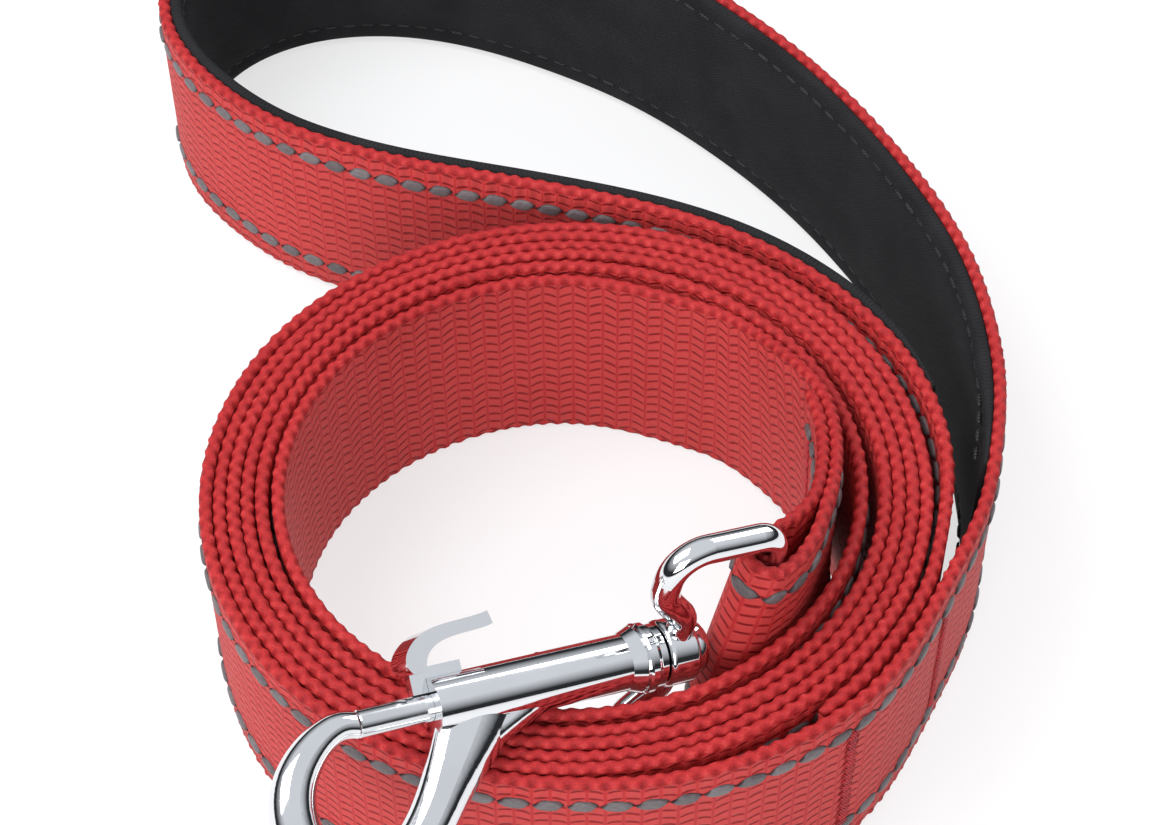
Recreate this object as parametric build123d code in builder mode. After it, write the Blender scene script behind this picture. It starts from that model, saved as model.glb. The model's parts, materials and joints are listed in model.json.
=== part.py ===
from build123d import *
from math import cos, sin, radians, pi
import os

# A padded dog leash, coiled on edge on a table: flat nylon webbing with two rows of
# reflective yarn, a neoprene-lined hand loop, and a swivel-eye bolt snap.
# Millimetres, +Z up, origin on the table at the middle of the object's outline.

# ---- webbing, padding and stitching
WEB_WIDTH = 25.0
WEB_THICK = 1.3
PLY_GAP = 0.1
PAD_THICK = 1.6
PAD_WIDTH = 24.4
YARN_ROW_INSET = 3.6
YARN_WIDTH = 1.5
YARN_PROUD = 0.08
THREAD_WIDTH = 0.5
THREAD_PROUD = 0.1
TACK_LENGTH = 1.2
TACK_WIDTH = 17.0

# ---- coil: distance of the strap's middle from the coil's centre, turn by turn
COIL_X = 0.0
COIL_Y = -24.3
COIL_RADIUS = 27.7
COIL_PITCH = 1.43
COIL_SLACK = 0.45
BULGE_INNER = 3.2
BULGE_OUTER = 4.0
BULGE_ANGLE = 5.0
COIL_ZERO = 20.0
COIL_START = 55.0
COIL_END = 2065.0
COIL_STEP = 30.0
FULL_TURNS = 5
COIL_STATION = 12.0
HANDLE_STATION = 7.0

# ---- hand loop, after the last turn, as x, y from the coil's centre
HANDLE_ROUTE = [
    (3.6, -37.3), (9.5, -37.1), (16.0, -35.7), (22.6, -33.0), (28.0, -29.8), (32.5, -25.8),
    (36.1, -20.9), (39.0, -15.7), (42.0, -9.9), (44.9, -3.6), (47.0, 4.3), (48.3, 13.5),
    (48.1, 22.8), (46.2, 33.8), (42.0, 45.0), (36.8, 55.2), (30.2, 65.3), (21.3, 75.6),
    (11.2, 84.6), (0.0, 91.6), (-11.2, 96.6), (-23.0, 98.9), (-34.5, 97.2), (-43.2, 91.6),
    (-47.9, 83.0), (-48.0, 73.5), (-44.9, 66.3), (-39.9, 60.2), (-33.6, 54.9), (-26.0, 50.8),
    (-16.7, 47.5), (-6.5, 44.9), (4.0, 42.2), (14.5, 38.7), (24.0, 33.6), (32.0, 26.5),
    (37.9, 18.1), (40.9, 9.8), (41.6, 2.0), (40.4, -6.3), (38.0, -14.2), (34.6, -20.0),
    (31.0, -24.9), (26.6, -29.2),
]
JUNCTION_LENGTH = 66.0
PAD_START = 83.0
PAD_END = 63.0

# ---- ramp: the sewn double end rises from the coil to the snap (angle, radius, height)
RAMP_ROUTE = [
    (55.0, 29.30, 12.50), (38.0, 29.75, 13.05), (20.0, 29.60, 14.90), (6.0, 28.95, 16.75),
    (-8.0, 28.45, 18.50), (-20.0, 28.20, 20.00), (-31.0, 27.80, 21.30),
]
FREE_END = 0.42
LOOP_OPENING = 12.0
FOLD_PLAY = 0.3

# ---- swivel snap, measured along its axis from the eye's crossbar
EYE_X = 19.0
EYE_Y = -18.4
EYE_Z = 22.7
SNAP_HEADING = 205.5
SNAP_RISE = 14.0
HOOK_DIP = 34.0
EYE_WIRE_R = 1.45
EYE_HALF = 14.9
EYE_SHOULDER = 11.3
EYE_ROOT = 7.9
EYE_FOOT = 2.2
EYE_NECK = 5.2
EYE_ARM = 9.0
EYE_BENDS = (2.4, 3.0, 3.4, 2.2)
BLOCK_START = 6.2
BLOCK_END = 9.6
BLOCK_R = 3.4
BLOCK_FILLET = 0.5
RIVET_R = 1.5
RIVET_HEAD_R = 2.8
RIVET_HEAD = 1.6
WASHER_START = 9.75
WASHER_END = 10.85
WASHER_R = 3.2
BODY_START = 10.95
FLANGE_END = 13.7
FLANGE_R = 3.55
GROOVE_START = 12.0
GROOVE_END = 12.35
GROOVE_R = 3.1
FLANGE_EDGE = 0.2
BARREL_END = 34.4
BARREL_R = 2.85
RUNNING_GAP = 0.05
BOLT_R = 1.35
BOLT_TIP = 41.95
BOLT_BACK = 27.0
BORE_BACK = 15.5
RIVET_END = 14.2
SLOT_WIDTH = 1.5
SLOT_BACK = 22.3
# the hook's round bar: along the axis, out from it, half its width, half its thickness
HOOK_STATIONS = [
    (28.9, 0.4, 3.7, 2.0), (31.7, 4.0, 3.4, 2.1), (34.4, 7.4, 2.7, 2.2), (37.3, 10.9, 2.4, 2.3),
    (40.9, 13.7, 2.4, 2.35), (45.3, 14.4, 2.45, 2.4), (48.8, 12.2, 2.4, 2.35), (50.0, 8.2, 2.3, 2.25),
    (49.3, 4.4, 2.1, 2.1), (47.2, 1.7, 1.8, 1.8), (44.6, 0.1, 1.5, 1.5), (42.15, 0.0, 1.35, 1.35),
]
# the rib that blends the barrel into the hook's shank: along the axis, out from it, radius
RIB_STATIONS = [(20.0, 0.9, 1.6), (24.0, 1.6, 1.7), (27.6, 3.0, 1.7), (30.8, 4.6, 1.65), (33.6, 7.4, 1.6)]
LEVER_WIDTH = 4.0
LEVER_POST = 1.4
LEVER_FRONT = 36.0
LEVER_BACK = 30.6
LEVER_REACH = 3.8
LEVER_PIN_R = 0.55
LEVER_PIN_DEPTH = 1.0
SPRING_R = 1.1
SPRING_WIRE_R = 0.17
SPRING_COILS = 9

os.makedirs("parts", exist_ok=True)


def finish(part, name):
    """Name a finished sub-part and write it."""
    part.label = name
    export_step(part, f"parts/{name}.step")


# ==================================================================== the strap's route

def smooth(x):
    """Ease from 0 to 1."""
    x = min(max(x, 0.0), 1.0)
    return x * x * (3 - 2 * x)


def coil_radius(angle):
    """Distance of the strap's middle from the coil's centre after the given turn."""
    turns = (angle - COIL_ZERO) / 360
    bulge = BULGE_INNER + (BULGE_OUTER - BULGE_INNER) * smooth(turns - 0.9)
    side = ((1 + cos(radians(angle - BULGE_ANGLE))) / 2) ** 2
    return COIL_RADIUS + COIL_PITCH * turns + COIL_SLACK * smooth(turns / 2) + bulge * side


def polar(angle, radius):
    """A point on the table, by its angle and distance from the coil's centre."""
    return (COIL_X + radius * cos(radians(angle)), COIL_Y + radius * sin(radians(angle)))


steps = round((COIL_END - COIL_START) / COIL_STEP)
coil_angles = [COIL_START + i * COIL_STEP for i in range(steps + 1)]
route_points = [polar(angle, coil_radius(angle)) for angle in coil_angles]
route_points += [(COIL_X + x, COIL_Y + y) for x, y in HANDLE_ROUTE]
route = Spline(*route_points)
coil_length = Spline(*route_points[: len(coil_angles)]).length
junction = coil_length + JUNCTION_LENGTH


def beside(distance, offset):
    """A point beside the route; a positive offset is towards the coil's outside."""
    place = route.position_at(distance, position_mode=PositionMode.LENGTH)
    along = route.tangent_at(distance, position_mode=PositionMode.LENGTH)
    return (place.X + offset * along.Y, place.Y - offset * along.X)


def stations(start, end):
    """Distances along the route, closer together round the hand loop."""
    coil_count = max(1, round((min(end, coil_length) - start) / COIL_STATION))
    handle_count = max(1, round((end - max(start, coil_length)) / HANDLE_STATION))
    stops = [start]
    if start < coil_length:
        reach = min(end, coil_length) - start
        stops += [start + reach * (i + 1) / coil_count for i in range(coil_count)]
    if end > coil_length:
        reach = end - max(start, coil_length)
        stops += [end - reach * (handle_count - 1 - i) / handle_count for i in range(handle_count)]
    return stops


def band(start, end, inner, outer, bottom, height):
    """A strip that stands on edge and follows the route between two offsets."""
    stops = stations(start, end)
    with BuildPart() as strip:
        with BuildSketch(Plane.XY.offset(bottom)):
            with BuildLine():
                near = Spline(*[beside(stop, inner) for stop in stops])
                far = Spline(*[beside(stop, outer) for stop in stops])
                Line(near @ 0, far @ 0)
                Line(near @ 1, far @ 1)
            make_face()
        extrude(amount=height)
    return strip


half = WEB_THICK / 2

# The lead is one length of webbing, kept as a node for each turn of the coil.
points_per_turn = round(360 / COIL_STEP)
turn_ends = [Spline(*route_points[: turn * points_per_turn + 1]).length for turn in range(1, FULL_TURNS + 1)]
for turn, (start, end) in enumerate(zip([0] + turn_ends, turn_ends + [junction]), 1):
    lead_turn = band(start, end, -half, half, 0, WEB_WIDTH)
    finish(lead_turn.part, f"lead_turn_{turn}")

handle_webbing = band(junction, route.length, -half, half, 0, WEB_WIDTH)
finish(handle_webbing.part, "handle_webbing")

pad_start = coil_length + PAD_START
pad_end = route.length - PAD_END
pad_face = -half - PAD_THICK
pad_bottom = (WEB_WIDTH - PAD_WIDTH) / 2
handle_pad = band(pad_start, pad_end, pad_face, -half, pad_bottom, PAD_WIDTH)
finish(handle_pad.part, "handle_pad")

# The two rows of reflective yarn, on the outer face from the first turn to the tail.
yarn_rows = {
    "reflective_yarn_lower": YARN_ROW_INSET,
    "reflective_yarn_upper": WEB_WIDTH - YARN_ROW_INSET,
}
for name, height in yarn_rows.items():
    row = band(2, route.length - 2, half, half + YARN_PROUD, height - YARN_WIDTH / 2, YARN_WIDTH)
    finish(row.part, name)

# Two lines of thread along the edges of the padding.
with BuildPart() as pad_stitching:
    for height in (2.6, WEB_WIDTH - 2.6):
        line = band(pad_start + 2, pad_end - 2, pad_face - THREAD_PROUD, pad_face,
                    height - THREAD_WIDTH / 2, THREAD_WIDTH)
        add(line.part)
finish(pad_stitching.part, "pad_stitching")

# Bar tacks across the strap, where the hand loop's tail is sewn to the lead.
with BuildPart() as handle_bar_tacks:
    for back in (3.0, 20.0):
        tail = route.length - back
        tack = band(tail - TACK_LENGTH, tail, -half - THREAD_PROUD, -half,
                    (WEB_WIDTH - TACK_WIDTH) / 2, TACK_WIDTH)
        add(tack.part)
finish(handle_bar_tacks.part, "handle_bar_tacks")

# ==================================================================== snap's own frame

rise = radians(SNAP_RISE)
heading = radians(SNAP_HEADING)
eye_centre = Vector(COIL_X + EYE_X, COIL_Y + EYE_Y, EYE_Z)
snap_axis = Vector(cos(rise) * cos(heading), cos(rise) * sin(heading), sin(rise))
eye_up = Vector(-sin(rise) * cos(heading), -sin(rise) * sin(heading), cos(rise))
eye_side = eye_up.cross(snap_axis)
dip = radians(HOOK_DIP)
hook_out = eye_side * cos(dip) - eye_up * sin(dip)


def across(distance):
    """The plane square to the snap's axis, with X towards the hook's open side."""
    return Plane(origin=eye_centre + snap_axis * distance, x_dir=hook_out, z_dir=snap_axis)


# The hook's own plane: X along the axis, Y towards the hook's open side.
hook_plane = Plane(origin=eye_centre, x_dir=snap_axis, z_dir=snap_axis.cross(hook_out))
# The eye's own plane: X along the axis, Y up the crossbar.
eye_plane = Plane(origin=eye_centre, x_dir=snap_axis, z_dir=snap_axis.cross(eye_up))

# ==================================================================== sewn snap end

fold_r = EYE_WIRE_R + FOLD_PLAY + half
ramp_points = [polar(angle, radius) + (height,) for angle, radius, height in RAMP_ROUTE]
ramp = Spline(*ramp_points, tuple(eye_centre), tangents=[
    route.tangent_at(0) * -1, snap_axis])


def ramp_frame(share):
    """Place, direction, outward side and up of the double end at a share of its length."""
    place = ramp.position_at(share)
    along = ramp.tangent_at(share)
    side = Vector(-along.Y, along.X, 0).normalized()
    return place, side, along.cross(side)


def ply_point(share, sign):
    """A point in the middle of one ply, and the direction of its width there."""
    place, side, up = ramp_frame(share)
    apart = (WEB_THICK + PLY_GAP) / 2
    left = (1 - share) * ramp.length
    offset = apart + (fold_r - apart) * smooth(1 - left / LOOP_OPENING)
    return place + side * (sign * offset), up


PLY_STOPS = 12
INNER_STOPS = 8
outer_ply = [ply_point(i / PLY_STOPS, 1) for i in range(PLY_STOPS + 1)]
inner_stops = [1 - (1 - FREE_END) * i / INNER_STOPS for i in range(INNER_STOPS + 1)]
inner_ply = [ply_point(share, -1) for share in inner_stops]
fold = []
for turn in (60, 30, 0, -30, -60):
    reach = snap_axis * cos(radians(turn)) + eye_side * sin(radians(turn))
    fold.append((eye_centre + reach * fold_r, eye_up))
ply_stations = outer_ply + fold + inner_ply

with BuildPart() as snap_end_webbing:
    for i, (place, up) in enumerate(ply_stations):
        before = ply_stations[max(i - 1, 0)][0]
        after = ply_stations[min(i + 1, len(ply_stations) - 1)][0]
        along = (after - before).normalized()
        side = up.cross(along).normalized()
        with BuildSketch(Plane(origin=place, x_dir=side, z_dir=along)):
            Rectangle(WEB_THICK, WEB_WIDTH)
    loft(ruled=True)
finish(snap_end_webbing.part, "snap_end_webbing")

# Bar tacks through both plies of the snap end.
with BuildPart() as snap_end_bar_tacks:
    for share in (0.48, 0.66):
        place, side, up = ramp_frame(share)
        face = place - side * (WEB_THICK + PLY_GAP / 2)
        with BuildSketch(Plane(origin=face, x_dir=up, z_dir=side)):
            Rectangle(TACK_WIDTH, TACK_LENGTH)
        extrude(amount=-THREAD_PROUD)
finish(snap_end_bar_tacks.part, "snap_end_bar_tacks")

# ==================================================================== swivel

eye_half_path = [
    (EYE_ROOT, EYE_FOOT), (EYE_ROOT, EYE_NECK), (EYE_SHOULDER, EYE_ARM),
    (EYE_SHOULDER, EYE_HALF), (0, EYE_HALF)]

with BuildPart() as swivel_eye:
    with BuildLine(eye_plane) as eye_path:
        FilletPolyline(
            *eye_half_path, *[(x, -y) for x, y in reversed(eye_half_path)],
            radius=EYE_BENDS + EYE_BENDS[::-1])
    with BuildSketch(Plane(origin=eye_path.line @ 0, z_dir=eye_path.line % 0)):
        Circle(EYE_WIRE_R)
    sweep()
    with BuildSketch(across(BLOCK_START)):
        Circle(BLOCK_R)
    extrude(amount=BLOCK_END - BLOCK_START)
    rims = swivel_eye.edges().filter_by(GeomType.CIRCLE).filter_by(lambda e: abs(e.radius - BLOCK_R) < 0.01)
    fillet(rims, radius=BLOCK_FILLET)
    with BuildSketch(across(BLOCK_START)):
        Circle(RIVET_R + RUNNING_GAP)
    extrude(amount=BLOCK_END - BLOCK_START, mode=Mode.SUBTRACT)
finish(swivel_eye.part, "swivel_eye")

with BuildPart() as swivel_rivet:
    with BuildSketch(across(BLOCK_START - 0.1)):
        Circle(RIVET_R)
    extrude(amount=RIVET_END - BLOCK_START + 0.1)
    with BuildSketch(across(BLOCK_START - 0.1 - RIVET_HEAD)):
        Circle(RIVET_HEAD_R)
    extrude(amount=RIVET_HEAD)
    rim = swivel_rivet.edges().filter_by(GeomType.CIRCLE).sort_by(lambda e: e.center().dot(snap_axis))
    fillet(rim[0], radius=1.3)
finish(swivel_rivet.part, "swivel_rivet")

with BuildPart() as swivel_washer:
    with BuildSketch(across(WASHER_START)):
        Circle(WASHER_R)
        Circle(RIVET_R + RUNNING_GAP, mode=Mode.SUBTRACT)
    extrude(amount=WASHER_END - WASHER_START)
    chamfer(swivel_washer.edges().group_by(SortBy.LENGTH)[-1], length=0.2)
finish(swivel_washer.part, "swivel_washer")

# ==================================================================== snap body

hook_places = [hook_plane.from_local_coords((x, y, 0)) for x, y, _, _ in HOOK_STATIONS]
rib_places = [hook_plane.from_local_coords((x, y, 0)) for x, y, _ in RIB_STATIONS]

with BuildPart() as snap_body:
    for i, (_, _, wide, thick) in enumerate(HOOK_STATIONS):
        before = hook_places[max(i - 1, 0)]
        after = hook_places[min(i + 1, len(hook_places) - 1)]
        with BuildSketch(Plane(hook_places[i], x_dir=hook_plane.z_dir, z_dir=after - before)):
            Ellipse(thick, wide)
    loft()
    for i, (_, _, radius) in enumerate(RIB_STATIONS):
        before = rib_places[max(i - 1, 0)]
        after = rib_places[min(i + 1, len(rib_places) - 1)]
        with BuildSketch(Plane(rib_places[i], x_dir=hook_plane.z_dir, z_dir=after - before)):
            Circle(radius)
    loft()
    with BuildSketch(across(FLANGE_END)):
        Circle(BARREL_R)
    extrude(amount=BARREL_END - FLANGE_END)
    with BuildSketch(hook_plane):
        with BuildLine():
            Polyline(
                (BODY_START, 0), (BODY_START, FLANGE_R - FLANGE_EDGE), (BODY_START + FLANGE_EDGE, FLANGE_R),
                (GROOVE_START - FLANGE_EDGE, FLANGE_R), (GROOVE_START, FLANGE_R - FLANGE_EDGE),
                (GROOVE_START, GROOVE_R), (GROOVE_END, GROOVE_R), (GROOVE_END, FLANGE_R - FLANGE_EDGE),
                (FLANGE_END, BARREL_R), (FLANGE_END, 0), (BODY_START, 0))
        make_face()
    revolve(axis=Axis(eye_centre, snap_axis))
    with BuildSketch(across(BORE_BACK)):
        Circle(BOLT_R + RUNNING_GAP)
    extrude(amount=BARREL_END + 1 - BORE_BACK, mode=Mode.SUBTRACT)
    with BuildSketch(across(BODY_START)):
        Circle(RIVET_R)
    extrude(amount=RIVET_END - BODY_START, mode=Mode.SUBTRACT)
    with BuildSketch(hook_plane):
        with Locations(((SLOT_BACK + BARREL_END + 1) / 2, -BARREL_R)):
            Rectangle(BARREL_END + 1 - SLOT_BACK, 2 * BARREL_R)
    extrude(amount=SLOT_WIDTH / 2, both=True, mode=Mode.SUBTRACT)
finish(snap_body.part, "snap_body")

# ==================================================================== gate

lever_seat = hook_plane.from_local_coords(((LEVER_FRONT + LEVER_BACK) / 2, -BOLT_R, 0))
lever_pin = Plane(lever_seat, x_dir=snap_axis, z_dir=hook_out)

with BuildPart() as gate_bolt:
    with BuildSketch(across(BOLT_BACK)):
        Circle(BOLT_R)
    extrude(amount=BOLT_TIP - BOLT_BACK)
    chamfer(gate_bolt.edges().filter_by(GeomType.CIRCLE), length=0.15)
    with BuildSketch(lever_pin.offset(-1)):
        Circle(LEVER_PIN_R)
    extrude(amount=1 + LEVER_PIN_DEPTH, mode=Mode.SUBTRACT)
finish(gate_bolt.part, "gate_bolt")

with BuildPart() as thumb_lever:
    with BuildSketch(hook_plane):
        with BuildLine():
            front = Spline((36.0, -3.3), (36.5, -4.6), (35.3, -6.3), (32.4, -7.3), (27.2, -7.7))
            inner = Spline((26.9, -6.4), (31.4, -6.0), (33.8, -5.1), (34.6, -3.3))
            Line(front @ 1, inner @ 0)
            Line(inner @ 1, front @ 0)
        make_face()
    extrude(amount=LEVER_WIDTH / 2, both=True)
    with BuildSketch(hook_plane):
        with Locations(((LEVER_FRONT + LEVER_BACK) / 2, -(BOLT_R + LEVER_REACH) / 2)):
            Rectangle(LEVER_FRONT - LEVER_BACK, LEVER_REACH - BOLT_R)
    extrude(amount=LEVER_POST / 2, both=True)
    with BuildSketch(lever_pin.offset(-0.2)):
        Circle(LEVER_PIN_R)
    extrude(amount=0.2 + LEVER_PIN_DEPTH)
finish(thumb_lever.part, "thumb_lever")

spring_length = BOLT_BACK - BORE_BACK - 2 * SPRING_WIRE_R
with BuildPart() as gate_spring:
    with BuildLine() as coil:
        Helix(pitch=spring_length / SPRING_COILS, height=spring_length, radius=SPRING_R,
              center=across(BORE_BACK + SPRING_WIRE_R).origin, direction=snap_axis)
    with BuildSketch(Plane(origin=coil.line @ 0, z_dir=coil.line % 0)):
        Circle(SPRING_WIRE_R)
    sweep()
finish(gate_spring.part, "gate_spring")

strap_length = route.length + ramp.length * (2 - FREE_END) + pi * fold_r
print(f"webbing cut length {strap_length:.0f} mm, padding {pad_end - pad_start:.0f} mm")
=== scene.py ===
import json
from math import cos, pi, radians, sin

import bpy
import numpy as np
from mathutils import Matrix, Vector


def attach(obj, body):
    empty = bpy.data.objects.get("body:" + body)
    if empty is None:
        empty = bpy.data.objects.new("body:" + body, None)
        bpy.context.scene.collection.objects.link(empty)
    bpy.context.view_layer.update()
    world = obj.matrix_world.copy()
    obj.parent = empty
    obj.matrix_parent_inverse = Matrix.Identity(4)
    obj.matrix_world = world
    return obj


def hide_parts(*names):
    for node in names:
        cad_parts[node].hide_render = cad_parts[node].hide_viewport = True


# A padded dog leash, coiled on edge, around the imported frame. The strap, its reflective
# stitches, the padding and the sewing are made here; the snap is the frame's own.
# Lengths are in millimetres up to new_mesh, which turns them into metres.

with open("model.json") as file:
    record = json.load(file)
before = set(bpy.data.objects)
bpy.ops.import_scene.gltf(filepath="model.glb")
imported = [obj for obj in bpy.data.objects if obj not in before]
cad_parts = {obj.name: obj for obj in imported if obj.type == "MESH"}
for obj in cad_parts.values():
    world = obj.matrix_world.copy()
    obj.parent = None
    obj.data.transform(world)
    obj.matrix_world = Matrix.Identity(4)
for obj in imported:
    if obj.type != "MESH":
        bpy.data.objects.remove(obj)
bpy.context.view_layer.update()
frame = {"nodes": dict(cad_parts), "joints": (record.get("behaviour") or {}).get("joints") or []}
MM = 0.001

# ---- webbing
WEB_WIDTH = 25.0
WEB_THICK = 1.3
PLY_GAP = 0.1
PICK = 1.75            # one woven rib to the next, along the strap
STROKE = 1.35          # one float to the next, across the strap
STATION = PICK / 5
EDGE_ROUND = 0.6
RIB_RELIEF = 0.03
EDGE_RELIEF = 0.15
CLEAR = 0.3            # keeps the roped edge above the table
LIFT = 0.35            # how unevenly the turns stand on the table

# ---- reflective stitches
ROW_INSET = 3.6
DASH_PITCH = 3.3
DASH_LENGTH = 2.85
DASH_WIDTH = 1.75
DASH_PROUD = 0.36

# ---- the strap's route, as in the frame: the coil is a formula, the hand loop a list
COIL = np.array((0.0, -24.3))
COIL_RADIUS = 27.7
COIL_PITCH = 1.43
COIL_SLACK = 0.45
BULGE_INNER = 3.2
BULGE_OUTER = 4.0
BULGE_ANGLE = 5.0
COIL_ZERO = 20.0
COIL_START = 55.0
COIL_END = 2065.0
COIL_STEP = 30.0
HANDLE_ROUTE = [
    (3.6, -37.3), (9.5, -37.1), (16.0, -35.7), (22.6, -33.0), (28.0, -29.8), (32.5, -25.8),
    (36.1, -20.9), (39.0, -15.7), (42.0, -9.9), (44.9, -3.6), (47.0, 4.3), (48.3, 13.5),
    (48.1, 22.8), (46.2, 33.8), (42.0, 45.0), (36.8, 55.2), (30.2, 65.3), (21.3, 75.6),
    (11.2, 84.6), (0.0, 91.6), (-11.2, 96.6), (-23.0, 98.9), (-34.5, 97.2), (-43.2, 91.6),
    (-47.9, 83.0), (-48.0, 73.5), (-44.9, 66.3), (-39.9, 60.2), (-33.6, 54.9), (-26.0, 50.8),
    (-16.7, 47.5), (-6.5, 44.9), (4.0, 42.2), (14.5, 38.7), (24.0, 33.6), (32.0, 26.5),
    (37.9, 18.1), (40.9, 9.8), (41.6, 2.0), (40.4, -6.3), (38.0, -14.2), (34.6, -20.0),
    (31.0, -24.9), (26.6, -29.2),
]
JUNCTION_LENGTH = 66.0

# ---- the sewn double end that rises to the snap: angle, radius, height
RAMP_ROUTE = [
    (55.0, 29.30, 12.50), (38.0, 29.75, 13.05), (20.0, 29.60, 14.90), (6.0, 28.95, 16.75),
    (-8.0, 28.45, 18.50), (-20.0, 28.20, 20.00), (-31.0, 27.80, 21.30),
]
FREE_END = 0.42
LOOP_OPENING = 12.0
EYE_WIRE_R = 1.45
FOLD_PLAY = 0.3

# ---- padding and sewing
PAD_THICK = 1.6
PAD_WIDTH = 24.6
PAD_START = 70.0
PAD_END = 46.0
PAD_STATION = 0.8
PAD_SEAM = 9.9         # the border stitching, up and down from the padding's middle
PAD_STITCH_PITCH = 2.6
PAD_STITCH = (2.1, 0.5, 0.3)
TACK_STITCH = (1.5, 0.5, 0.22)
TACK_MARGIN = 4.2
TACK_PITCH = 0.55
TACKS_FROM_TAIL = (3.0, 20.0)
TACKS_ON_RAMP = (0.48, 0.66)

half = WEB_THICK / 2
swivel = next(joint for joint in frame["joints"] if joint["name"] == "snap_swivel")
eye_centre = np.array(swivel["pos_m"]) / MM
snap_axis = np.array(swivel["axis"])
swing = next(joint for joint in frame["joints"] if joint["name"] == "eye_swing")
eye_up = np.array(swing["axis"])
eye_side = np.cross(eye_up, snap_axis)


# ==================================================================== curves

def smooth(x):
    """Ease from 0 to 1."""
    x = np.clip(x, 0, 1)
    return x * x * (3 - 2 * x)


def unit(vectors):
    return vectors / np.linalg.norm(vectors, axis=-1, keepdims=True)


def spline(points, first=None, last=None, fine=0.2):
    """A smooth cubic curve through points, sampled finely; first and last are end directions."""
    points = np.array(points, float)
    chords = np.linalg.norm(np.diff(points, axis=0), axis=1)
    knots = np.concatenate(([0], np.cumsum(chords)))
    count = len(points)
    matrix = np.zeros((count, count))
    right = np.zeros_like(points)
    slopes = np.diff(points, axis=0) / chords[:, None]
    for i in range(1, count - 1):
        matrix[i, i - 1] = chords[i]
        matrix[i, i] = 2 * (chords[i - 1] + chords[i])
        matrix[i, i + 1] = chords[i - 1]
        right[i] = 3 * (chords[i] * slopes[i - 1] + chords[i - 1] * slopes[i])
    for i, inner, slope, way in ((0, 1, slopes[0], first), (-1, -2, slopes[-1], last)):
        matrix[i, i] = 1 if way is not None else 2
        matrix[i, inner] = 0 if way is not None else 1
        right[i] = way if way is not None else 3 * slope
    tangents = np.linalg.solve(matrix, right)
    at = np.arange(0, knots[-1], fine)
    span = np.clip(np.searchsorted(knots, at, side="right") - 1, 0, count - 2)
    length = chords[span][:, None]
    t = ((at - knots[span]) / chords[span])[:, None]
    curve = (points[span] * (1 - 3 * t**2 + 2 * t**3) + points[span + 1] * (3 * t**2 - 2 * t**3)
             + tangents[span] * length * (t - 2 * t**2 + t**3)
             + tangents[span + 1] * length * (t**3 - t**2))
    return np.vstack((curve, points[-1]))


def lengths(points):
    """Distance along a sampled curve at each of its points."""
    return np.concatenate(([0], np.cumsum(np.linalg.norm(np.diff(points, axis=0), axis=1))))


def sample(values, at, wanted):
    return np.stack([np.interp(wanted, at, values[:, i]) for i in range(values.shape[1])], 1)


def coil_radius(angle):
    """Distance of the strap's middle from the coil's centre after the given turn."""
    turns = (angle - COIL_ZERO) / 360
    bulge = BULGE_INNER + (BULGE_OUTER - BULGE_INNER) * smooth(turns - 0.9)
    side = ((1 + np.cos(np.radians(angle - BULGE_ANGLE))) / 2) ** 2
    return COIL_RADIUS + COIL_PITCH * turns + COIL_SLACK * smooth(turns / 2) + bulge * side


def polar(angle, radius):
    turn = np.radians(angle)
    return np.stack((COIL[0] + radius * np.cos(turn), COIL[1] + radius * np.sin(turn)), -1)


class Strap:
    """The strap's middle line with its width's direction, at even steps."""

    def __init__(self, places, ups):
        at = lengths(places)
        self.length = at[-1]
        count = round(self.length / STATION)
        self.at = np.linspace(0, self.length, count + 1)
        self.place = sample(places, at, self.at)
        ups = sample(ups, at, self.at)
        self.along = unit(np.gradient(self.place, axis=0))
        self.right = unit(np.cross(self.along, ups))
        self.up = np.cross(self.right, self.along)

    def point(self, distance, offset, height):
        """A point beside the middle line, towards the stitched face and up the width."""
        place = sample(self.place, self.at, distance)
        right = sample(self.right, self.at, distance)
        up = sample(self.up, self.at, distance)
        return place + right * offset[:, None] + up * height[:, None]


def whole_strap():
    """The one length of webbing, with where its coil ends and how long its double end is."""
    coil_angles = np.arange(COIL_START, COIL_END + 1, COIL_STEP)
    coil_points = polar(coil_angles, coil_radius(coil_angles))
    route = spline(np.vstack((coil_points, COIL + np.array(HANDLE_ROUTE))))
    coil_length = lengths(spline(coil_points))[-1]
    start_way = unit(route[1] - route[0])
    route = np.column_stack((route, np.full(len(route), WEB_WIDTH / 2)))

    angles, radii, heights = np.array(RAMP_ROUTE).T
    ramp_points = np.column_stack((polar(angles, radii), heights))
    ramp = spline(np.vstack((ramp_points, eye_centre)),
                  first=-np.append(start_way, 0), last=snap_axis)
    at = lengths(ramp)
    way = unit(np.gradient(ramp, axis=0))
    side = unit(np.column_stack((-way[:, 1], way[:, 0], np.zeros(len(way)))))
    ramp_up = np.cross(way, side)
    fold_r = EYE_WIRE_R + FOLD_PLAY + half
    apart = (WEB_THICK + PLY_GAP) / 2
    offset = apart + (fold_r - apart) * smooth(1 - (at[-1] - at) / LOOP_OPENING)
    outer = ramp + side * offset[:, None]
    inner = ramp - side * offset[:, None]
    free = at >= FREE_END * at[-1]
    turn = np.radians(np.arange(-80, 81, 8.0))[:, None]
    fold = eye_centre + (snap_axis * np.cos(turn) + eye_side * np.sin(turn)) * fold_r
    places = np.vstack((inner[free], fold, outer[::-1], route[1:]))
    ups = np.vstack((ramp_up[free], np.tile(eye_up, (len(fold), 1)), ramp_up[::-1],
                     np.tile((0, 0, 1), (len(route) - 1, 1))))
    strap = Strap(places, ups)
    route_start = strap.length - lengths(route)[-1]
    wave = np.sin(strap.at / 23) + 0.6 * np.sin(strap.at / 11.3 + 1) + 1.6
    standing = smooth((strap.at - route_start) / 60)
    strap.place[:, 2] += (CLEAR + LIFT * wave / 3.2) * standing
    return strap, route_start + coil_length, at[-1]


# ==================================================================== meshes

FACE_POINTS = 7
EDGE_POINTS = 6


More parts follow.
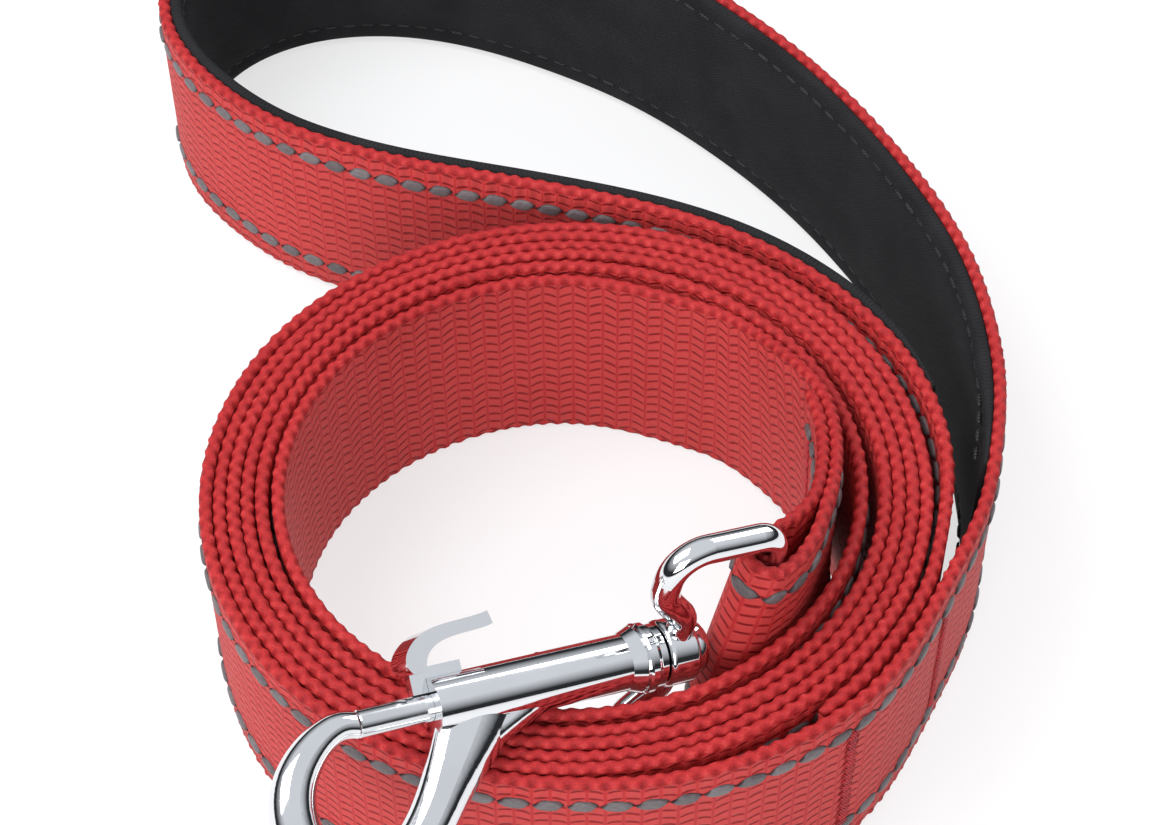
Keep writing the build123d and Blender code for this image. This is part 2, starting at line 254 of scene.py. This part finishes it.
def new_mesh(name, points, quads, material, body="strap", cloth=None):
    """A smooth mesh piece from millimetre points, riding on a body."""
    mesh = bpy.data.meshes.new(name)
    mesh.vertices.add(len(points))
    mesh.vertices.foreach_set("co", (points * MM).astype(np.float32).ravel())
    quads = quads.astype(np.int32)
    mesh.loops.add(quads.size)
    mesh.loops.foreach_set("vertex_index", quads.ravel())
    mesh.polygons.add(len(quads))
    mesh.polygons.foreach_set("loop_start", np.arange(0, quads.size, 4, dtype=np.int32))
    mesh.update(calc_edges=True)
    mesh.polygons.foreach_set("use_smooth", np.ones(len(quads), bool))
    if cloth is not None:
        layer = mesh.attributes.new("cloth", "FLOAT_VECTOR", "POINT")
        layer.data.foreach_set("vector", cloth.astype(np.float32).ravel())
    piece = bpy.data.objects.new(name, mesh)
    bpy.context.scene.collection.objects.link(piece)
    mesh.materials.append(material)
    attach(piece, body)
    return piece


def strip_quads(rings, face, edge):
    """Quads of a strip whose rings run up one face, over, down the other face and under."""
    around = 2 * (face + edge)
    i = np.arange(rings - 1)[:, None] * around
    j = np.arange(around)[None, :]
    k = (j + 1) % around
    side = np.stack((i + j, i + around + j, i + around + k, i + k), -1).reshape(-1, 4)
    n = np.arange(-(edge // 2), face + edge // 2 - 1)
    mate = 2 * face + edge - 1 - n
    cap = np.stack((n, n + 1, mate - 1, mate), -1) % around
    return np.vstack((side, cap, (cap + (rings - 1) * around)[:, ::-1]))


def strip_ring(face, edge, flat, round_r, thick):
    """Points round a strip's section: offset, height, normal, share across, and 1 on an edge."""
    v = np.linspace(-flat, flat, face)
    turn = np.radians(np.linspace(75, -75, edge))
    rows = [(thick, height, 1, 0, 1, 0) for height in v]
    rows += [(thick * sin(a), flat + round_r * cos(a), sin(a), cos(a), 0.5 + a / pi, 1) for a in turn]
    rows += [(-thick, height, -1, 0, 0, 0) for height in v[::-1]]
    rows += [(thick * sin(a), -flat - round_r * cos(a), sin(a), -cos(a), 0.5 + a / pi, 1)
             for a in turn[::-1]]
    return np.array(rows).T


def make_webbing(strap, material):
    """The whole length of webbing, with ribs on its faces and braided edges."""
    flat = WEB_WIDTH / 2 - EDGE_ROUND
    offset, height, out_r, out_u, across, edge = strip_ring(
        FACE_POINTS, EDGE_POINTS, flat, EDGE_ROUND, half)
    at = strap.at[:, None]
    uneven = 0.12 * (np.sin(at / 2.9) + np.sin(at / 4.7 + 2) + np.sin(at / 1.63 + height))
    phase = 2 * pi * (at / PICK + uneven * edge)
    braid = (0.8 + 0.4 * np.sin(at / 3.7 + height) * np.sin(at / 5.9)) * np.cos(pi * across)
    relief = np.where(edge > 0, EDGE_RELIEF * braid, RIB_RELIEF) * np.cos(phase)
    ends = smooth(np.minimum(strap.at, strap.length - strap.at) / 1.2)[:, None]
    relief = relief * ends - 0.2 * (1 - ends)
    r = offset + out_r * relief
    u = height + out_u * relief
    points = (strap.place[:, None] + strap.right[:, None] * r[..., None]
              + strap.up[:, None] * u[..., None])
    cloth = np.stack(np.broadcast_arrays(at, u + WEB_WIDTH / 2, across), -1)
    piece = new_mesh("leash_webbing", points.reshape(-1, 3),
                     strip_quads(len(at), FACE_POINTS, EDGE_POINTS), material,
                     cloth=cloth.reshape(-1, 3))
    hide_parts(*[f"lead_turn_{turn}" for turn in range(1, 7)], "handle_webbing",
                "snap_end_webbing")


def lens(along, across):
    """A closed stitch: a grid of a, b from -1 to 1, how far it stands out, and its quads."""
    a, b = np.meshgrid(np.linspace(-1, 1, along), np.linspace(-1, 1, across), indexing="ij")
    bulge = ((1 - a**4) * (1 - b**2)) ** 0.5
    middle = (slice(1, -1), slice(1, -1))
    top = np.arange(a.size).reshape(a.shape)
    under = top.copy()
    under[middle] = a.size + np.arange(a[middle].size).reshape(a[middle].shape)
    quads = [np.stack((g[:-1, :-1], g[1:, :-1], g[1:, 1:], g[:-1, 1:]), -1).reshape(-1, 4)
             for g in (top, under)]
    plump = np.concatenate((bulge.ravel(), -0.3 * bulge[middle].ravel()))
    return (np.concatenate((a.ravel(), a[middle].ravel())),
            np.concatenate((b.ravel(), b[middle].ravel())), plump,
            np.vstack((quads[0], quads[1][:, ::-1])))


def make_stitches(name, strap, spots, size, face, material, lean=0.0, grid=(9, 5), seed=1):
    """Sewn or woven stitches; a spot is a distance and a height, face is the signed offset."""
    a, b, plump, quads = lens(*grid)
    if face < 0:
        quads = quads[:, ::-1]
    length, width, proud = size
    chance = np.random.default_rng(seed)
    points, faces, cloth = [], [], []
    for i, (distance, height) in enumerate(spots):
        stretch = chance.uniform(0.93, 1.06)
        rise = proud * chance.uniform(0.85, 1.15)
        tilt = lean * chance.uniform(0.5, 1.5)
        d = distance + a * length / 2 * stretch + 0.15 * width * b
        h = height - WEB_WIDTH / 2 + b * width / 2 * (1 - 0.8 * np.abs(a) ** 3) - a * tilt
        points.append(strap.point(d, face + np.sign(face) * rise * plump, h))
        faces.append(quads + i * len(a))
        cloth.append(np.column_stack((a, b, np.full(len(a), chance.uniform()))))
    return new_mesh(name, np.vstack(points), np.vstack(faces), material, cloth=np.vstack(cloth))


def make_padding(strap, start, end, material, thread):
    """The neoprene lining of the hand loop, with its border stitching and soft creases."""
    face, edge = 31, 6
    at = np.arange(start, end, PAD_STATION)
    offset, height, out_r, out_u, across, rim = strip_ring(face, edge, PAD_WIDTH / 2 - 0.7, 0.7, 1.0)
    ends = smooth(np.minimum(at - start, end - at) / 16)[:, None]
    thick = PAD_THICK * (0.35 + 0.65 * ends)
    seam = np.exp(-((np.abs(height) - PAD_SEAM) / 0.45) ** 2) * (across == 0)
    crease = (np.sin(at[:, None] / 2.3 + height / 9) * np.sin(at[:, None] / 7.1 + height / 4)
              * (across == 0) * 0.10)
    crown = 0.22 * (1 - (height / 12) ** 2) * (across == 0)
    inward = (1 - offset) / 2 * thick * (1 + crown) - 0.38 * seam * ends + crease * ends
    r = -half + 0.03 - inward
    points = [strap.point(at, r[:, i], np.full(len(at), height[i])) for i in range(len(height))]
    points = np.stack(points, 1)
    cloth = np.stack(np.broadcast_arrays(at[:, None], height, across), -1)
    piece = new_mesh("hand_loop_padding", points.reshape(-1, 3), strip_quads(len(at), face, edge),
                     material, cloth=cloth.reshape(-1, 3))
    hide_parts("handle_pad")
    along = np.arange(start + 3, end - 3, PAD_STITCH_PITCH)
    spots = [(d, WEB_WIDTH / 2 + v) for v in (-PAD_SEAM, PAD_SEAM) for d in along]
    stitches = make_stitches("padding_stitches", strap, spots, PAD_STITCH,
                             -half - PAD_THICK * 0.8, thread, grid=(7, 5), seed=4)
    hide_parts("pad_stitching")
    return piece


def tack_spots(distance):
    """The threads of one bar tack across the strap."""
    heights = np.arange(TACK_MARGIN, WEB_WIDTH - TACK_MARGIN, TACK_PITCH)
    return [(distance + 0.12 * (-1) ** i, v) for i, v in enumerate(heights)]


# ==================================================================== materials

class Nodes:
    """Short names for building a node material."""

    def __init__(self, name):
        self.material = bpy.data.materials.new(name)
        self.material.use_nodes = True
        self.tree = self.material.node_tree
        self.shader = self.tree.nodes["Principled BSDF"]

    def put(self, socket, value):
        if isinstance(value, bpy.types.NodeSocket):
            self.tree.links.new(value, socket)
        else:
            socket.default_value = value

    def math(self, operation, *values, clamp=False):
        node = self.tree.nodes.new("ShaderNodeMath")
        node.operation = operation
        node.use_clamp = clamp
        for socket, value in zip(node.inputs, values):
            self.put(socket, value)
        return node.outputs[0]

    def cloth(self):
        node = self.tree.nodes.new("ShaderNodeAttribute")
        node.attribute_name = "cloth"
        split = self.tree.nodes.new("ShaderNodeSeparateXYZ")
        self.tree.links.new(node.outputs["Vector"], split.inputs[0])
        return split.outputs

    def vector(self, x, y, z=0.0):
        node = self.tree.nodes.new("ShaderNodeCombineXYZ")
        for socket, value in zip(node.inputs, (x, y, z)):
            self.put(socket, value)
        return node.outputs[0]

    def noise(self, vector, scale, detail=2.0):
        node = self.tree.nodes.new("ShaderNodeTexNoise")
        if vector is not None:
            self.tree.links.new(vector, node.inputs["Vector"])
        node.inputs["Scale"].default_value = scale
        node.inputs["Detail"].default_value = detail
        return node.outputs["Fac"]

    def ramp(self, value, *stops):
        node = self.tree.nodes.new("ShaderNodeValToRGB")
        self.put(node.inputs[0], value)
        while len(node.color_ramp.elements) < len(stops):
            node.color_ramp.elements.new(0.5)
        for element, (place, colour) in zip(node.color_ramp.elements, stops):
            element.position = place
            element.color = (*colour, 1)
        return node.outputs["Color"]

    def mix(self, share, a, b):
        """Between two values by a share."""
        return self.math("ADD", self.math("MULTIPLY", a, self.math("SUBTRACT", 1.0, share)),
                         self.math("MULTIPLY", b, share))

    def map(self, value, low, high, out_low=0.0, out_high=1.0):
        node = self.tree.nodes.new("ShaderNodeMapRange")
        node.interpolation_type = "SMOOTHSTEP"
        for socket, number in zip(node.inputs, (value, low, high, out_low, out_high)):
            self.put(socket, number)
        return node.outputs[0]

    def bump(self, height, distance, strength=1.0):
        node = self.tree.nodes.new("ShaderNodeBump")
        self.put(node.inputs["Height"], height)
        node.inputs["Distance"].default_value = distance
        node.inputs["Strength"].default_value = strength
        self.tree.links.new(node.outputs[0], self.shader.inputs["Normal"])

    def finish(self, colour, roughness, **constants):
        self.put(self.shader.inputs["Base Color"], colour)
        self.put(self.shader.inputs["Roughness"], roughness)
        for name, value in constants.items():
            self.shader.inputs[name.replace("_", " ")].default_value = value
        return self.material


def webbing_material():
    """Red nylon: ribs with short slanting gaps, leaning left and right in turn, and braided edges; the
    colour is darker in the gaps and valleys as painted shade and lighter on the crests as painted highlight.
    """
    n = Nodes("red_nylon_webbing")
    u, v, across = n.cloth()
    column = n.math("DIVIDE", u, PICK)
    fx = n.math("FRACT", column)
    odd = n.math("MODULO", n.math("FLOOR", column), 2.0)
    way = n.math("SUBTRACT", 1.0, n.math("MULTIPLY", odd, 2.0))
    outer = n.map(across, 0.45, 0.55)
    way = n.mix(outer, way, n.math("MULTIPLY", way, 0.55))
    slant = n.math("MULTIPLY", n.math("SUBTRACT", fx, 0.5), n.math("MULTIPLY", way, 0.55))
    wander = n.math("MULTIPLY", n.noise(n.vector(u, v), 0.35), 0.5)
    fy = n.math("FRACT", n.math("ADD", n.math("ADD", n.math("DIVIDE", v, STROKE), slant), wander))
    centre_y = n.math("ABSOLUTE", n.math("SUBTRACT", n.math("MULTIPLY", fy, 2.0), 1.0))
    centre_x = n.math("ABSOLUTE", n.math("SUBTRACT", n.math("MULTIPLY", fx, 2.0), 1.0))
    # gap, dash and seam mark the short gaps between floats and the lines between ribs; they lower the relief
    # and, through the colour ramp, paint shade there.
    gap = n.map(centre_y, 0.62, 0.95)
    inside = n.map(centre_x, 0.55, 0.95, 1.0, 0.0)
    dash = n.math("MULTIPLY", gap, inside)
    seam = n.map(centre_x, 0.7, 1.0)
    on_face = n.math("SUBTRACT", 1.0, n.math("MULTIPLY", dash, 0.75))
    on_face = n.math("SUBTRACT", on_face, n.math("MULTIPLY", seam, 0.25))
    lobes = n.math("MULTIPLY", n.math("COSINE", n.math("MULTIPLY", column, 2 * pi)),
                   n.math("COSINE", n.math("MULTIPLY", across, pi)))
    rope = n.math("ADD", n.math("MULTIPLY", lobes, 0.30), 0.30)
    strand = n.noise(n.vector(n.math("MULTIPLY", column, 2.4), n.math("MULTIPLY", v, 2.2),
                              n.math("MULTIPLY", across, 3.0)), 2.6)
    rope = n.math("ADD", rope, n.math("MULTIPLY", strand, 0.65))
    edge_low = n.map(v, 0.55, 0.95, 1.0, 0.0)
    edge_high = n.map(v, WEB_WIDTH - 0.95, WEB_WIDTH - 0.55)
    on_edge = n.math("ADD", edge_low, edge_high, clamp=True)
    height = n.mix(on_edge, on_face, rope)
    fibre = n.noise(n.vector(n.math("MULTIPLY", u, 1.2), n.math("MULTIPLY", v, 7.0), across), 1.5, 3.0)
    patch = n.noise(n.vector(u, v), 0.06, 3.0)
    # The colour follows the relief: the ramp's dark end is painted shade in the gaps, between the ribs and
    # in the edges' valleys, and its light end is painted highlight on the crests; fibre and patch add real
    # tone variation.
    tone = n.math("ADD", height, n.math("MULTIPLY", n.math("SUBTRACT", fibre, 0.5), 0.45))
    tone = n.math("ADD", tone, n.math("MULTIPLY", n.math("SUBTRACT", patch, 0.5), 0.35), clamp=True)
    colour = n.ramp(tone, (0.0, (0.09, 0.004, 0.006)), (0.35, (0.26, 0.010, 0.012)),
                    (0.75, (0.42, 0.022, 0.024)), (1.0, (0.52, 0.050, 0.048)))
    n.bump(n.math("ADD", height, n.math("MULTIPLY", fibre, 0.25)), 0.00014)
    roughness = n.map(fibre, 0.3, 0.7, 0.5, 0.7)
    return n.finish(colour, roughness, Specular_IOR_Level=0.2)


def yarn_material():
    """Grey reflective yarn: flat glossy filaments with fine lines along each stitch, and painted shade
    towards each stitch's ends.
    """
    n = Nodes("reflective_grey_yarn")
    a, b, chance = n.cloth()
    lines = n.noise(n.vector(n.math("MULTIPLY", a, 1.5), n.math("MULTIPLY", b, 9.0),
                             n.math("MULTIPLY", chance, 40.0)), 1.4, 2.0)
    # rim darkens each stitch towards its ends: painted shade where the yarn sinks into the webbing.
    rim = n.map(n.math("ABSOLUTE", a), 0.72, 1.0, 0.0, 0.6)
    tone = n.math("ADD", n.math("SUBTRACT", lines, rim),
                  n.math("MULTIPLY", n.math("SUBTRACT", chance, 0.5), 0.3), clamp=True)
    colour = n.ramp(tone, (0.0, (0.035, 0.022, 0.026)), (0.5, (0.12, 0.105, 0.11)),
                    (1.0, (0.24, 0.225, 0.235)))
    n.bump(lines, 0.00008)
    return n.finish(colour, n.map(lines, 0.3, 0.7, 0.35, 0.5), Specular_IOR_Level=0.4)


def padding_material():
    """Matt black knit over neoprene."""
    n = Nodes("black_neoprene_knit")
    u, v, across = n.cloth()
    knit_u = n.math("SINE", n.math("MULTIPLY", u, 2 * pi / 0.55))
    knit_v = n.math("SINE", n.math("MULTIPLY", v, 2 * pi / 0.42))
    knit = n.math("MULTIPLY", knit_u, knit_v)
    cloud = n.noise(n.vector(u, v), 0.12, 4.0)
    lint = n.noise(n.vector(u, v), 2.2, 4.0)
    tone = n.math("ADD", n.math("MULTIPLY", knit, 0.12), n.math("MULTIPLY", cloud, 0.6))
    tone = n.math("ADD", tone, n.math("MULTIPLY", lint, 0.4), clamp=True)
    colour = n.ramp(tone, (0.2, (0.008, 0.008, 0.009)), (0.8, (0.026, 0.026, 0.028)))
    n.bump(n.math("ADD", n.math("MULTIPLY", knit, 0.5), lint), 0.00006)
    return n.finish(colour, n.map(lint, 0.3, 0.7, 0.78, 0.95), Specular_IOR_Level=0.12)


def thread_material(name, dark, light):
    """Twisted sewing thread."""
    n = Nodes(name)
    a, b, chance = n.cloth()
    twist = n.math("SINE", n.math("MULTIPLY", n.math("ADD", n.math("MULTIPLY", a, 3.0), b), 5.0))
    tone = n.math("ADD", n.math("MULTIPLY", twist, 0.3), n.math("ADD", 0.2, n.math("MULTIPLY", chance, 0.6)),
                  clamp=True)
    n.bump(twist, 0.00005)
    return n.finish(n.ramp(tone, (0.0, dark), (1.0, light)), n.map(chance, 0.0, 1.0, 0.5, 0.7))


def metal_material(name, colour, rough, streak):
    """Plated metal: polished, with faint polishing marks and slightly uneven gloss."""
    n = Nodes(name)
    coordinates = n.tree.nodes.new("ShaderNodeTexCoord")
    marks = n.noise(coordinates.outputs["Object"], 900.0, 2.0)
    cloud = n.noise(coordinates.outputs["Object"], 120.0, 3.0)
    tint = n.ramp(cloud, (0.3, tuple(c * 0.93 for c in colour)), (0.7, colour))
    n.bump(n.math("ADD", n.math("MULTIPLY", marks, streak), cloud), 0.00001)
    return n.finish(tint, n.map(cloud, 0.3, 0.7, rough, rough * 1.8), Metallic=1.0)


def floor_material():
    n = Nodes("pale_floor")
    coordinates = n.tree.nodes.new("ShaderNodeTexCoord")
    cloud = n.noise(coordinates.outputs["Object"], 3.0, 2.0)
    n.put(n.shader.inputs["Emission Color"], (1.0, 1.0, 1.0, 1.0))
    return n.finish(n.ramp(cloud, (0.0, (0.28, 0.28, 0.29)), (1.0, (0.31, 0.31, 0.31))), 0.8,
                    Specular_IOR_Level=0.1, Emission_Strength=0.68)


# ==================================================================== the leash

strap, coil_end, ramp_length = whole_strap()
make_webbing(strap, webbing_material())

yarn = yarn_material()
dash_at = np.arange(2.0, strap.length - 2.0, DASH_PITCH)
for name, height in (("lower", ROW_INSET), ("upper", WEB_WIDTH - ROW_INSET)):
    shift = 0 if name == "lower" else DASH_PITCH / 3
    row = make_stitches("reflective_dashes_" + name, strap, [(d + shift, height) for d in dash_at],
                        (DASH_LENGTH, DASH_WIDTH, DASH_PROUD), half, yarn, lean=0.12,
                        grid=(11, 7), seed=11)
    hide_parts("reflective_yarn_" + name)

black_thread = thread_material("black_thread", (0.006, 0.006, 0.007), (0.03, 0.03, 0.032))
red_thread = thread_material("red_thread", (0.28, 0.008, 0.014), (0.62, 0.04, 0.05))
make_padding(strap, coil_end + PAD_START, strap.length - PAD_END, padding_material(), black_thread)

# The hand loop's tail is sewn through to the outside of the lead.
through = (strap.at > coil_end) & (strap.at < coil_end + JUNCTION_LENGTH + 20)
spots = []
for back in TACKS_FROM_TAIL:
    tail = strap.place[np.searchsorted(strap.at, strap.length - back)]
    reach = np.linalg.norm(strap.place[through] - tail, axis=1)
    spots += tack_spots(strap.at[through][np.argmin(reach)])
tacks = make_stitches("hand_loop_bar_tacks", strap, spots, TACK_STITCH, half + 0.03, red_thread,
                      grid=(7, 5), seed=21)
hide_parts("handle_bar_tacks")

spots = []
for share in TACKS_ON_RAMP:
    spots += tack_spots((share - FREE_END) * ramp_length)
tacks = make_stitches("snap_end_tacks", strap, spots, TACK_STITCH, half + 0.03, red_thread,
                      grid=(7, 5), seed=22)
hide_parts("snap_end_bar_tacks")

# ==================================================================== the snap

chrome = metal_material("polished_chrome", (0.80, 0.81, 0.83), 0.05, 0.15)
steel = metal_material("plated_bolt_steel", (0.74, 0.75, 0.77), 0.11, 0.5)
spring = metal_material("spring_wire", (0.5, 0.5, 0.52), 0.2, 0.6)
for node, look in (("swivel_eye", chrome), ("swivel_rivet", chrome), ("swivel_washer", chrome),
                   ("snap_body", chrome), ("gate_bolt", steel), ("thumb_lever", chrome),
                   ("gate_spring", spring)):
    shown = frame["nodes"][node]
    shown.data.materials.clear()
    shown.data.materials.append(look)

# ==================================================================== stage, light, camera

bpy.ops.mesh.primitive_plane_add(size=6)
floor = bpy.context.object
floor.name = "floor"
floor.data.materials.append(floor_material())

world = bpy.data.worlds.new("studio")
bpy.context.scene.world = world
world.use_nodes = True
sky = world.node_tree
background = sky.nodes["Background"]
direction = sky.nodes.new("ShaderNodeTexCoord")
parts = sky.nodes.new("ShaderNodeSeparateXYZ")
shades = sky.nodes.new("ShaderNodeValToRGB")
sky.links.new(direction.outputs["Generated"], parts.inputs[0])
sky.links.new(parts.outputs["Z"], shades.inputs[0])
sky.links.new(shades.outputs["Color"], background.inputs["Color"])
stops = shades.color_ramp.elements
stops[0].position = 0.22
stops[0].color = (0.03, 0.032, 0.035, 1)
stops[1].position = 0.68
stops[1].color = (0.85, 0.88, 0.92, 1)
background.inputs["Strength"].default_value = 0.9


def softbox(name, place, size, power):
    """A square lamp that looks at the coil."""
    light = bpy.data.lights.new(name, "AREA")
    light.shape = "SQUARE"
    light.size = size
    light.energy = power
    lamp = bpy.data.objects.new(name, light)
    lamp.location = place
    lamp.rotation_mode = "QUATERNION"
    lamp.rotation_quaternion = Vector(place).to_track_quat("Z", "Y")
    bpy.context.scene.collection.objects.link(lamp)


softbox("key", (-0.40, -0.05, 0.60), 0.50, 4.2)
softbox("fill", (0.45, 0.45, 0.45), 0.40, 1.8)
softbox("front", (-0.1, -0.62, 0.30), 0.35, 2.4)

camera_data = bpy.data.cameras.new("camera")
camera_data.lens = 80
camera_data.sensor_width = 36
camera = bpy.data.objects.new("camera", camera_data)
camera.location = (0.00356, -0.1958, 0.2357)
camera.rotation_mode = "QUATERNION"
aim = Vector((0.00356, 0.0062, 0.0)) - camera.location
camera.rotation_quaternion = aim.to_track_quat("-Z", "Y")
bpy.context.scene.collection.objects.link(camera)
bpy.context.scene.camera = camera
bpy.context.scene.view_settings.view_transform = "Standard"
